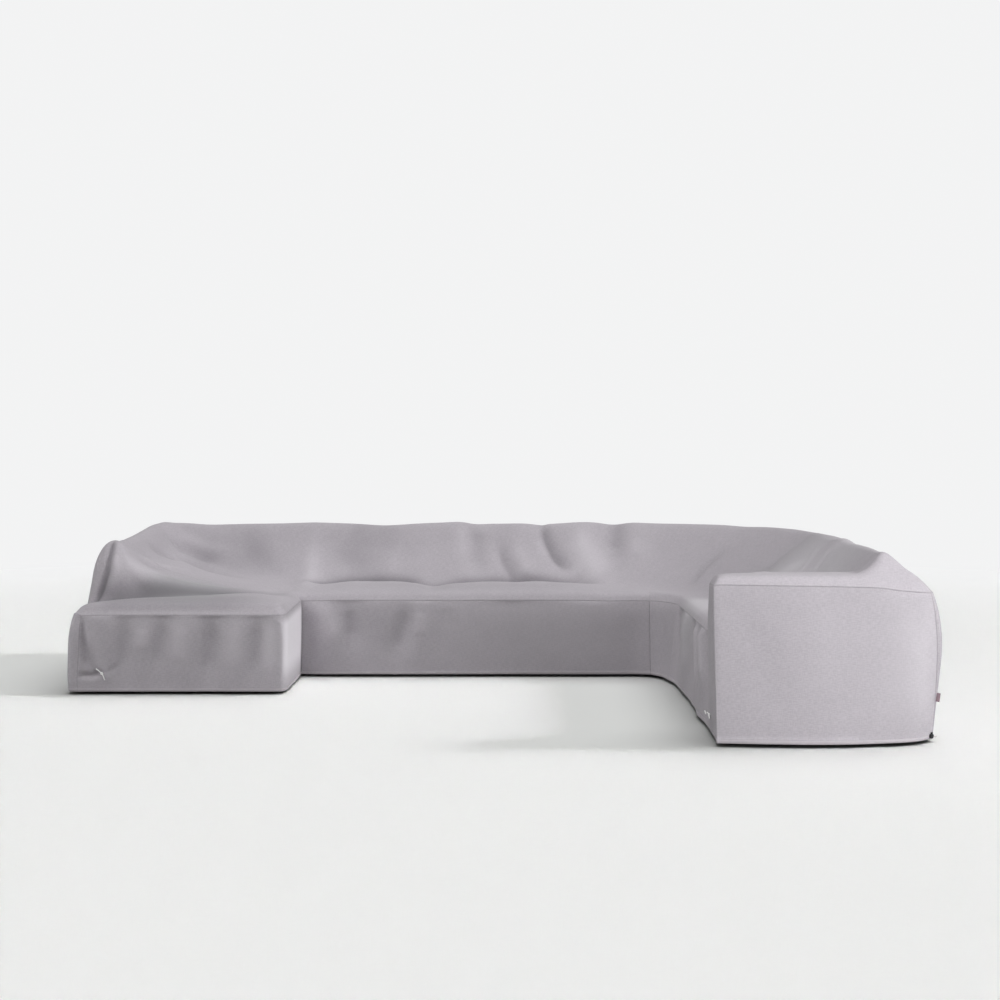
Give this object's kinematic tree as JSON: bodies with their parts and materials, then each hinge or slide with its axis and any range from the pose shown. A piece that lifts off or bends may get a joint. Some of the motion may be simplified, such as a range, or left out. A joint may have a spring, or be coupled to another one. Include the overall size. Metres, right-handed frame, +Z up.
{
  "type": "sectional sofa cover",
  "caption": "Fitted cloth cover for a U-shaped sectional sofa, with a chaise, a rounded corner and a wing; hollow, open below, sewn from panels with ties at the hem.",
  "frame": {"origin": "middle of the hem, at the level of the cover's foot", "axes": "+X to the right seen from the open side of the U, +Y to the back, +Z up"},
  "size_m": [4.3263, 2.838, 0.8448],
  "materials": {
    "cloth": "woven, matte",
    "tie": "braided, matte",
    "lock": "satin",
    "draw_cord": "braided, matte",
    "label": "woven, matte"
  },
  "bodies": {
    "root": {"top_chaise": "cloth", "top_main": "cloth", "top_gore": "cloth", "top_wing": "cloth", "skirt_chaise": "cloth", "skirt_main": "cloth", "skirt_gore": "cloth", "skirt_wing": "cloth", "skirt_arm": "cloth", "skirt_end": "cloth", "skirt_outer": "cloth", "skirt_gore_outer": "cloth", "skirt_back": "cloth", "skirt_left": "cloth", "tie_chaise_knot": "tie", "tie_chaise_tail_1": "tie", "tie_chaise_tail_2": "tie", "tie_wing_knot": "tie", "tie_wing_tail_1": "tie", "tie_wing_tail_2": "tie", "lock_block": "lock", "lock_button": "lock", "draw_cord_end": "draw_cord", "label": "label"}
  },
  "joints": []
}
